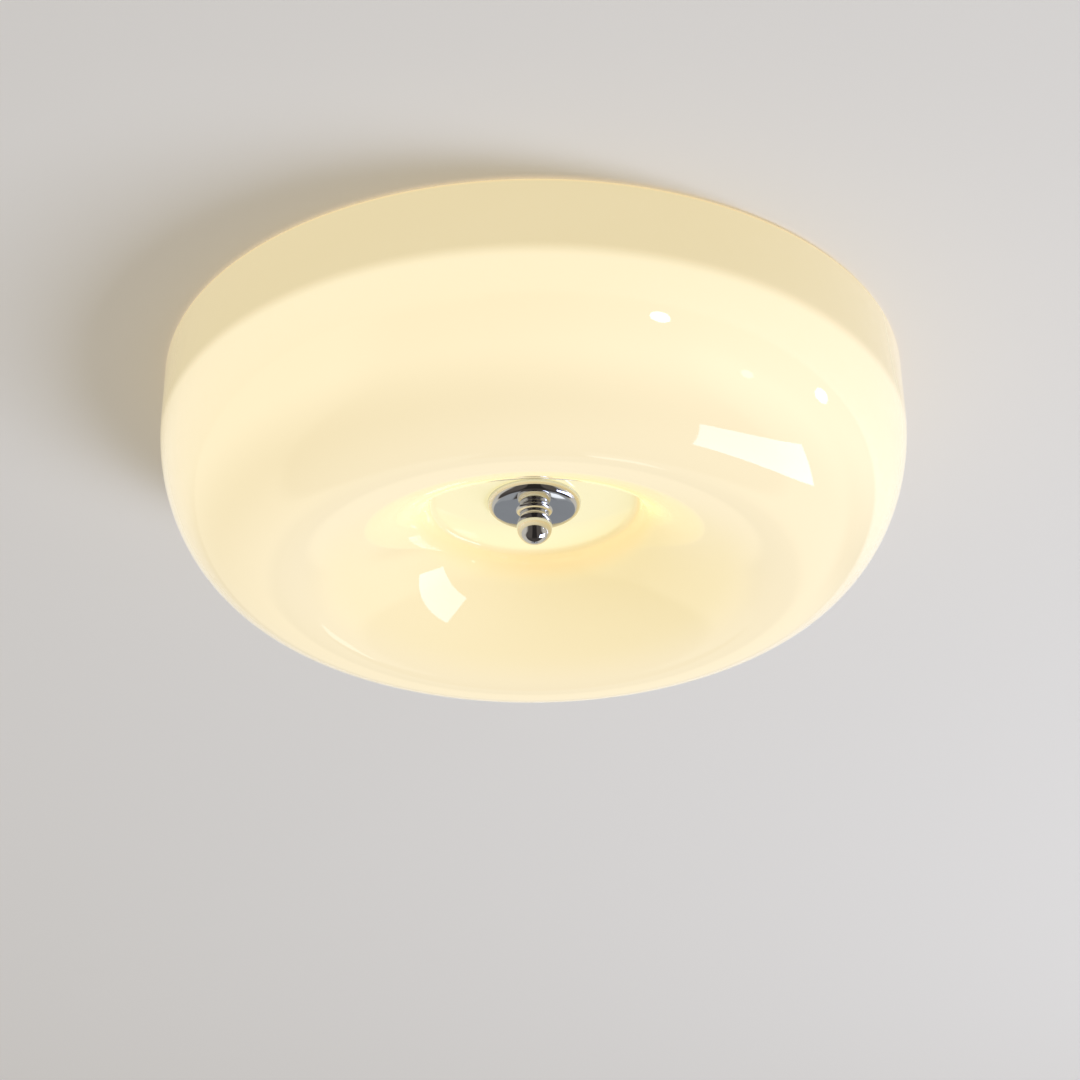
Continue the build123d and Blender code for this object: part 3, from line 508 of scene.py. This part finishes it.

# painted glow of the lit glass, standing in for the LEDs' light through it, set by the height and by the
# distance from the axis, in mm
opalLook = {
    "sockets": {
        "Base Color": (0.37, 0.35, 0.355, 1), "Roughness": 0.035, "Specular IOR Level": 0.06,
        "Coat Weight": 0.88, "Coat Roughness": 0.03, "Coat IOR": 1.5, "Emission Strength": 1.0,
    },
    "shoulder": (0.845, 0.722, 0.437, 1),  # from the side down to the lowest ring
    "ring": (0.735, 0.612, 0.335, 1),
    "ringReach": (-84.0, -110.0),
    # painted glow: the hollow, its floor and the crease are painted warmer and brighter, standing in for
    # light bounced round the hollow
    "hollow": (0.72, 0.59, 0.275, 1),
    "hollowReach": (126.0, 96.0),
    "floor": (0.745, 0.675, 0.338, 1),
    "floorReach": (66.0, 54.0),
    "crease": (0.785, 0.59, 0.24, 1),
    "creaseMiddle": 58.0,
    "creaseReach": (7.0, 0.0),  # from its middle
    "band": (0.615, 0.505, 0.245, 1),  # painted shade of the pan's side, which keeps the LEDs' light off the glass in front of it
    "bandReach": (-46.0, -37.0),
    "rim": (0.70, 0.53, 0.215, 1),  # where light leaks past the pan's flange
    "rimReach": (-3.2, -1.2),
}


def makeOpal(look):
    material, tree, shader, place = startMaterial("opal_glass", look["sockets"])
    parts = addNode(tree, "ShaderNodeSeparateXYZ", (-900, 200))
    link(tree, place, parts.inputs[0])
    level, across = parts.outputs["Z"], distanceFromAxis(tree, place)
    fromCrease = addMath(tree, "SUBTRACT", [across, look["creaseMiddle"] * mm], (-700, 0))
    fromCrease = addMath(tree, "ABSOLUTE", [fromCrease], (-600, 0))
    zones = [
        ("ring", level), ("hollow", across), ("floor", across),
        ("crease", fromCrease), ("band", level), ("rim", level),
    ]
    glow = look["shoulder"]
    for row, (zone, value) in enumerate(zones):
        height = 600 - 200 * row
        share = addFade(tree, value, [end * mm for end in look[zone + "Reach"]], (-500, height))
        glow = addBlend(tree, share, glow, look[zone], (-300, height))
    link(tree, glow, shader.inputs["Emission Color"])
    return material


materials["opal_glass"] = makeOpal(opalLook)

boardLook = {
    "sockets": {
        "Coat Weight": 0.3, "Coat Roughness": 0.15,
        # painted light: a faint warm emission stands in for the LEDs' light falling on the board
        "Emission Color": (1.0, 0.88, 0.62, 1), "Emission Strength": 0.12,
    },
    "mask": (0.84, 0.84, 0.81, 1),
    "track": (0.74, 0.735, 0.69, 1),  # copper rings under the mask
    "trackPitch": 7.5,  # mm
    "trackWidth": 0.07,  # of the pitch
    "patches": 120,
    "rough": (0.3, 0.42),
    "bump": 0.4,
    "depth": 0.0001,
}


def makeBoard(look):
    material, tree, shader, place = startMaterial("board_white", look["sockets"])
    group = addGroup(tree, mottle, place, look["rough"], (-700, -200))
    group.inputs["Patches"].default_value = look["patches"]
    pitch = look["trackPitch"] * mm
    rings = addMath(tree, "PINGPONG", [distanceFromAxis(tree, place), pitch], (-600, 200))
    track = addMath(tree, "LESS_THAN", [rings, look["trackWidth"] * pitch], (-450, 200))
    colour = addBlend(tree, track, look["mask"], look["track"], (-250, 200))
    link(tree, colour, shader.inputs["Base Color"])
    link(tree, group.outputs["Roughness"], shader.inputs["Roughness"])
    bumpInto(tree, shader, track, look)
    return material


materials["board_white"] = makeBoard(boardLook)

earthLook = {
    "sockets": {"Coat Weight": 0.1},
    "green": (0.03, 0.22, 0.03, 1),
    "yellow": (0.72, 0.56, 0.02, 1),
    "stripe": 0.25,  # how far up the surface faces where the yellow starts
    "patches": 120,
    "rough": (0.3, 0.42),
}


def makeEarthLead(look):
    material, tree, shader, place = startMaterial("lead_earth", look["sockets"])
    group = addGroup(tree, mottle, place, look["rough"], (-700, -200))
    group.inputs["Patches"].default_value = look["patches"]
    normal = addNode(tree, "ShaderNodeTexCoord", (-900, 300))
    parts = addNode(tree, "ShaderNodeSeparateXYZ", (-700, 300))
    link(tree, normal.outputs["Normal"], parts.inputs[0])
    stripe = addMath(tree, "GREATER_THAN", [parts.outputs["Z"], look["stripe"]], (-500, 300))
    colour = addBlend(tree, stripe, look["green"], look["yellow"], (-250, 200))
    link(tree, colour, shader.inputs["Base Color"])
    link(tree, group.outputs["Roughness"], shader.inputs["Roughness"])
    return material


materials["lead_earth"] = makeEarthLead(earthLook)
print("materials are built:", len(materials))

weld = 0.004 * mm  # turned points closer than this become one


def drawLine(name, outline):  # a point drawn out along a line in mm, as (radius, level); stays in edit mode
    bpy.ops.object.select_all(action="DESELECT")
    bpy.ops.mesh.primitive_plane_add(size=mm, location=(outline[0][0] * mm, 0, outline[0][1] * mm))
    piece = bpy.context.object
    piece.name = name
    bpy.ops.object.transform_apply(location=True, rotation=True, scale=True)
    bpy.ops.object.mode_set(mode="EDIT")
    bpy.ops.mesh.select_all(action="SELECT")
    bpy.ops.mesh.merge(type="CENTER")
    for (r0, z0), (r1, z1) in zip(outline, outline[1:]):
        step = ((r1 - r0) * mm, 0, (z1 - z0) * mm)
        bpy.ops.mesh.extrude_vertices_move(TRANSFORM_OT_translate={"value": step})
    bpy.ops.mesh.select_all(action="SELECT")
    return piece


def closeUp(smooth):  # from edit mode, with everything welded and facing out
    bpy.ops.mesh.select_all(action="SELECT")
    bpy.ops.mesh.remove_doubles(threshold=weld)
    bpy.ops.mesh.select_all(action="SELECT")
    bpy.ops.mesh.normals_make_consistent(inside=False)
    bpy.ops.object.mode_set(mode="OBJECT")
    bpy.ops.object.shade_smooth_by_angle(angle=radians(smooth))


def lathe(name, outline, steps, smooth=30.0):
    piece = drawLine(name, outline)
    bpy.ops.mesh.spin(steps=steps, angle=2 * pi, center=(0, 0, 0), axis=(0, 0, 1))
    closeUp(smooth)
    return piece


def arc(centre, across, height, start, end, steps):  # degrees, anticlockwise when end is more than start
    turns = [radians(start + (end - start) * step / steps) for step in range(steps + 1)]
    return [(centre[0] + across * cos(turn), centre[1] + height * sin(turn)) for turn in turns]


def bezier(corners, steps):
    (x0, y0), (x1, y1), (x2, y2), (x3, y3) = corners
    points = []
    for step in range(steps + 1):
        t = step / steps
        a, b, c, d = (1 - t) ** 3, 3 * t * (1 - t) ** 2, 3 * t * t * (1 - t), t**3
        points.append((a * x0 + b * x1 + c * x2 + d * x3, a * y0 + b * y1 + c * y2 + d * y3))
    return points


def roundInto(curve, level, radius, steps):  # a level floor runs into the curve through an arc
    for index in range(1, len(curve) - 1):
        (x0, y0), (x1, y1) = curve[index - 1], curve[index + 1]
        run = hypot(x1 - x0, y1 - y0)
        outX, outY = (y1 - y0) / run, -(x1 - x0) / run
        centreX, centreY = curve[index][0] + radius * outX, curve[index][1] + radius * outY
        if centreY <= level - radius:
            break
    endTurn = degrees(atan2(-outY, -outX))
    return arc((centreX, level - radius), radius, radius, 90, endTurn, steps)[:-1] + curve[index:]


def roundCorners(corners, radii, steps):  # straight runs, with each inner corner turned through an arc
    points = [corners[0]]
    for before, corner, after, radius in zip(corners, corners[1:], corners[2:], radii):
        if not radius:
            points.append(corner)
            continue
        runIn, runOut = (Vector(end) - Vector(start) for start, end in ((before, corner), (corner, after)))
        runIn.normalize()
        runOut.normalize()
        turn = acos(max(-1, min(1, runIn.dot(runOut))))
        side = 1 if runIn.x * runOut.y - runIn.y * runOut.x > 0 else -1
        toCentre = Vector((-runIn.y, runIn.x)) * side * radius
        centre = Vector(corner) - runIn * radius * tan(turn / 2) + toCentre
        first = degrees(atan2(side * -runIn.x, side * runIn.y))
        points += arc(centre, radius, radius, first, first + side * degrees(turn), steps)
    return points + [corners[-1]]


dressed = set()


def finishPiece(piece, node, body, slot):
    dressed.add(node)
    piece.data.materials.clear()
    piece.data.materials.append(materials[slot])
    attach(piece, body)
    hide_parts(node)


shadeLow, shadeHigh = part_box("glass_shade")
shadeLook = {
    "radius": shadeHigh.x / mm,
    "depth": -shadeLow.z / mm,
    "rimLevel": shadeHigh.z / mm,
    "rimTaper": 0.6,
    "rimRound": 1.1,
    "rimSteps": 5,
    "wall": 4.5,
    "shoulder": (65.7, 83.6),  # across and up
    "shoulderSteps": 48,
    "hollowRadius": 56.7,
    "hollowDepth": 50.6,
    "hollowSteps": 72,
    "fullness": 0.43,
    "crease": 4.0,
    "creaseSteps": 8,
    "hole": 7.0,
    "steps": 256,
}


def wallLine(look, inset):  # one face of the glass, from the floor of the hollow out to the side
    across, up = look["shoulder"]
    ring = look["radius"] - across
    floor = -look["depth"] + look["hollowDepth"] + inset
    low = -look["depth"] + inset
    start = look["hollowRadius"] + inset
    reach = look["fullness"] * (ring - start)
    rise = look["fullness"] * look["hollowDepth"]
    corners = [(start, floor), (start, floor - rise), (ring - reach, low), (ring, low)]
    line = roundInto(bezier(corners, look["hollowSteps"]), floor, look["crease"], look["creaseSteps"])
    shoulderTop = (ring, up - look["depth"])
    return line + arc(shoulderTop, across - inset, up - inset, -90, 0, look["shoulderSteps"])[1:]


def rimLine(look):  # round the ground rim, from the outer side to the inner
    rim, wall, edge = look["radius"] - look["rimTaper"], look["wall"], look["rimRound"]
    level = look["rimLevel"] - edge
    outer = arc((rim - edge, level), edge, edge, 0, 90, look["rimSteps"])
    inner = arc((rim - wall + edge, level), edge, edge, 90, 180, look["rimSteps"])
    return outer + inner


def buildShade(look):
    outer = wallLine(look, 0)
    inner = wallLine(look, look["wall"])
    floor = -look["depth"] + look["hollowDepth"]
    outline = [(look["hole"], floor)] + outer + rimLine(look) + inner[::-1]
    outline += [(look["hole"], floor + look["wall"]), (look["hole"], floor)]
    piece = lathe("glassShade", outline, look["steps"])
    finishPiece(piece, "glass_shade", "shade", "opal_glass")


buildShade(shadeLook)
print("glass shade is turned")

capLow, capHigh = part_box("chrome_cap")
capLook = {
    "radius": capHigh.x / mm,
    "lipTop": capHigh.z / mm,
    "neckEnd": capLow.z / mm,
    "lip": 0.6,
    "lipWall": 1.6,
    "lipRound": 0.3,
    "lipSteps": 7,
    "seat": -67.8,
    "edge": (3.9, 4.2),  # the rounded edge, across and down
    "edgeTurn": -84,
    "edgeSteps": 14,
    "belly": 0.4,  # how far the plate bulges inside the edge
    "bellySteps": 8,
    "neck": 7.8,
    "flare": (2.4, 2.35),  # hollow round from the plate into the neck, across and down
    "flareSteps": 24,
    "hole": 5.3,
    "steps": 160,
}


def buildCap(look):
    across, down = look["edge"]
    plate, neck = look["radius"] - across, look["neck"]
    edge = arc((plate, look["lipTop"] - look["lip"]), across, down, 0, look["edgeTurn"], look["edgeSteps"])
    start, level = edge[-1]
    wide, deep = look["flare"]
    run = neck + wide - start
    shares = [step / look["bellySteps"] for step in range(1, look["bellySteps"] + 1)]
    belly = [(start + run * share, level - look["belly"] * (1 - (1 - share) ** 2)) for share in shares]
    flare = arc((neck + wide, belly[-1][1] - deep), wide, deep, 90, 180, look["flareSteps"])[1:]
    inner = look["radius"] - look["lipWall"]
    corners = [(look["hole"], look["seat"]), (inner, look["seat"]), (inner, look["lipTop"])]
    corners += [(look["radius"], look["lipTop"])] + edge + belly + flare
    corners += [(neck, look["neckEnd"]), (look["hole"], look["neckEnd"])]
    radii = [0, 0, look["lipRound"]] + [0] * (len(corners) - 5)
    outline = roundCorners(corners, radii, look["lipSteps"])
    piece = lathe("chromedCap", outline + outline[:1], look["steps"])
    finishPiece(piece, "chrome_cap", "cap", "chrome")


buildCap(capLook)

knobLow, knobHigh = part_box("ball_knob")
knobLook = {
    "top": knobHigh.z / mm,
    "ball": (knobHigh.x - knobLow.x) / mm / 2,
    "ballSteps": 56,
    "low": knobLow.z / mm,
    "groove": (6.9, 0.15),  # radius and height
    "collar": (7.8, 2.45),
    "collarRound": 0.12,
    "collarUnder": 0.5,
    "collarTurn": -80,
    "collarSteps": 6,
    "bore": 5.05,
    "boreEnd": -88.7,
    "steps": 128,
}


def buildKnob(look):
    radius, middle = look["ball"], look["low"] + look["ball"]
    groove, gap = look["groove"]
    collar, height = look["collar"]
    under, steps = look["collarUnder"], look["collarSteps"]
    collarTop = look["top"] - gap
    collarLow = collarTop - height
    drop = collarLow - middle
    startTurn = degrees(atan2(drop, (radius**2 - drop**2) ** 0.5))
    ball = arc((0, middle), radius, radius, startTurn, -90, look["ballSteps"])
    corners = [(0, look["boreEnd"]), (look["bore"], look["boreEnd"]), (look["bore"], look["top"])]
    corners += [(groove, look["top"]), (groove, collarTop), (collar, collarTop), (collar, collarLow + under)]
    corners += arc((collar - under, collarLow + under), under, under, 0, look["collarTurn"], steps)[1:]
    corners += ball[:1]
    radii = [0, 0, 0, 0, look["collarRound"]] + [0] * (len(corners) - 7)
    outline = roundCorners(corners, radii, steps) + ball[1:-1] + [(0, look["low"])]
    piece = lathe("ballKnob", outline, look["steps"])
    finishPiece(piece, "ball_knob", "knob", "chrome")


buildKnob(knobLook)
print("cap and knob are turned")

threadLook = {
    "depth": 0.61,  # of the pitch, like the width
    "width": 0.92,
    "root": 0.04,  # mm, sunk into the rod
    "steps": 24,
    "smooth": 40,  # degrees
}


def cutThread(name, radius, pitch, low, high):  # a ridge that climbs one pitch with each turn round the rod
    root = radius - threadLook["depth"] * pitch - threadLook["root"]
    half = threadLook["width"] * pitch / 2
    section = [(root, low), (radius, low + half), (root, low + 2 * half), (root, low)]
    ridge = drawLine(name, section)
    bpy.ops.mesh.remove_doubles(threshold=weld)
    bpy.ops.object.mode_set(mode="OBJECT")
    screw = ridge.modifiers.new("screw", "SCREW")
    screw.axis = "Z"
    screw.angle = 2 * pi
    screw.screw_offset = pitch * mm
    screw.iterations = int((high - low) / pitch - threadLook["width"])
    screw.steps = screw.render_steps = threadLook["steps"]
    bpy.ops.object.modifier_apply(modifier="screw")
    bpy.ops.object.mode_set(mode="EDIT")
    bpy.ops.mesh.select_mode(type="EDGE")
    bpy.ops.mesh.select_all(action="DESELECT")
    bpy.ops.mesh.select_non_manifold()
    bpy.ops.mesh.edge_face_add()
    bpy.ops.mesh.select_mode(type="VERT")
    closeUp(threadLook["smooth"])
    return ridge


def joinInto(piece, others):
    bpy.ops.object.select_all(action="DESELECT")
    for other in others:
        other.select_set(True)
    piece.select_set(True)
    bpy.context.view_layer.objects.active = piece
    bpy.ops.object.join()


tubeLow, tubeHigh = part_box("threaded_tube")
tubeLook = {
    "radius": tubeHigh.x / mm,
    "top": tubeHigh.z / mm,
    "low": tubeLow.z / mm,
    "bore": 3.25,
    "pitch": 1.0,
    "chamfer": 0.5,
    "steps": 64,
}


def buildTube(look):
    top, low, bore, edge = look["top"], look["low"], look["bore"], look["chamfer"]
    core = look["radius"] - threadLook["depth"] * look["pitch"]
    outline = [(bore, low), (core - edge, low), (core, low + edge), (core, top - edge)]
    outline += [(core - edge, top), (bore, top), (bore, low)]
    tube = lathe("threadedTube", outline, look["steps"])
    joinInto(tube, [cutThread("tubeThread", look["radius"], look["pitch"], low + edge, top - edge)])
    finishPiece(tube, "threaded_tube", "base", "tube_steel")


buildTube(tubeLook)
print("tube is threaded")

record = frame["record"]
slotOf = {part["node"]: part["material_slot"] for part in record["subparts"]}
bodyOf = {name: body for body, members in record["behaviour"]["bodies"].items() for name in members}
dressLook = {
    "weld": 0.0005,  # mm
    "flat": 0.4,  # degrees, like the next two: faces this close to level with each other become one
    "smooth": 32,
    "sharp": 40,
    "segments": 2,
}
edges = {  # mm, rounded edges that the frame's nodes leave sharp
    "mounting_strap": 0.3, "lock_nuts": 0.12, "pan_washers": 0.15, "cap_nuts": 0.12, "tube_nuts": 0.2,
    "lock_washer": 0.2, "tube_washer": 0.2, "stop_washer": 0.2, "led_board": 0.15, "led_chips": 0.15,
    "driver_case": 0.4, "driver_lid": 0.3, "driver_board": 0.1, "transformer": 0.5, "capacitors": 0.6,
    "terminal_block": 0.3, "terminal_sleeves": 0.15, "led_plug": 0.3, "side_bumpers": 0.8,
    "ceiling_seal": 0.4, "shade_bush": 0.3, "cap_gasket": 0.25, "toothed_washer": 0.08, "earth_lug": 0.12,
}


def camel(name):
    first, *rest = name.split("_")
    return first + "".join(word.capitalize() for word in rest)


def copyNode(name):
    bpy.ops.object.select_all(action="DESELECT")
    piece = bpy.data.objects.new(camel(name), nodes[name].data.copy())
    scene.collection.objects.link(piece)
    piece.select_set(True)
    bpy.context.view_layer.objects.active = piece
    bpy.ops.object.mode_set(mode="EDIT")
    bpy.ops.mesh.select_all(action="SELECT")
    bpy.ops.mesh.remove_doubles(threshold=dressLook["weld"] * mm)
    bpy.ops.mesh.select_all(action="SELECT")
    bpy.ops.mesh.dissolve_limited(angle_limit=radians(dressLook["flat"]))
    bpy.ops.object.mode_set(mode="OBJECT")
    return piece


def roundEdges(piece, width):
    bevel = piece.modifiers.new("edges", "BEVEL")
    bevel.width = width * mm
    bevel.segments = dressLook["segments"]
    bevel.limit_method = "ANGLE"
    bevel.angle_limit = radians(dressLook["sharp"])
    bpy.ops.object.modifier_apply(modifier="edges")


def dressNode(name):
    piece = copyNode(name)
    if name in edges:
        roundEdges(piece, edges[name])
    bpy.ops.object.shade_smooth_by_angle(angle=radians(dressLook["smooth"]))
    finishPiece(piece, name, bodyOf[name], slotOf[name])


for name, node in nodes.items():
    node.data.materials.clear()
    node.data.materials.append(materials[slotOf[name]])
    if name not in dressed:
        dressNode(name)
print("nodes are dressed:", len(nodes))
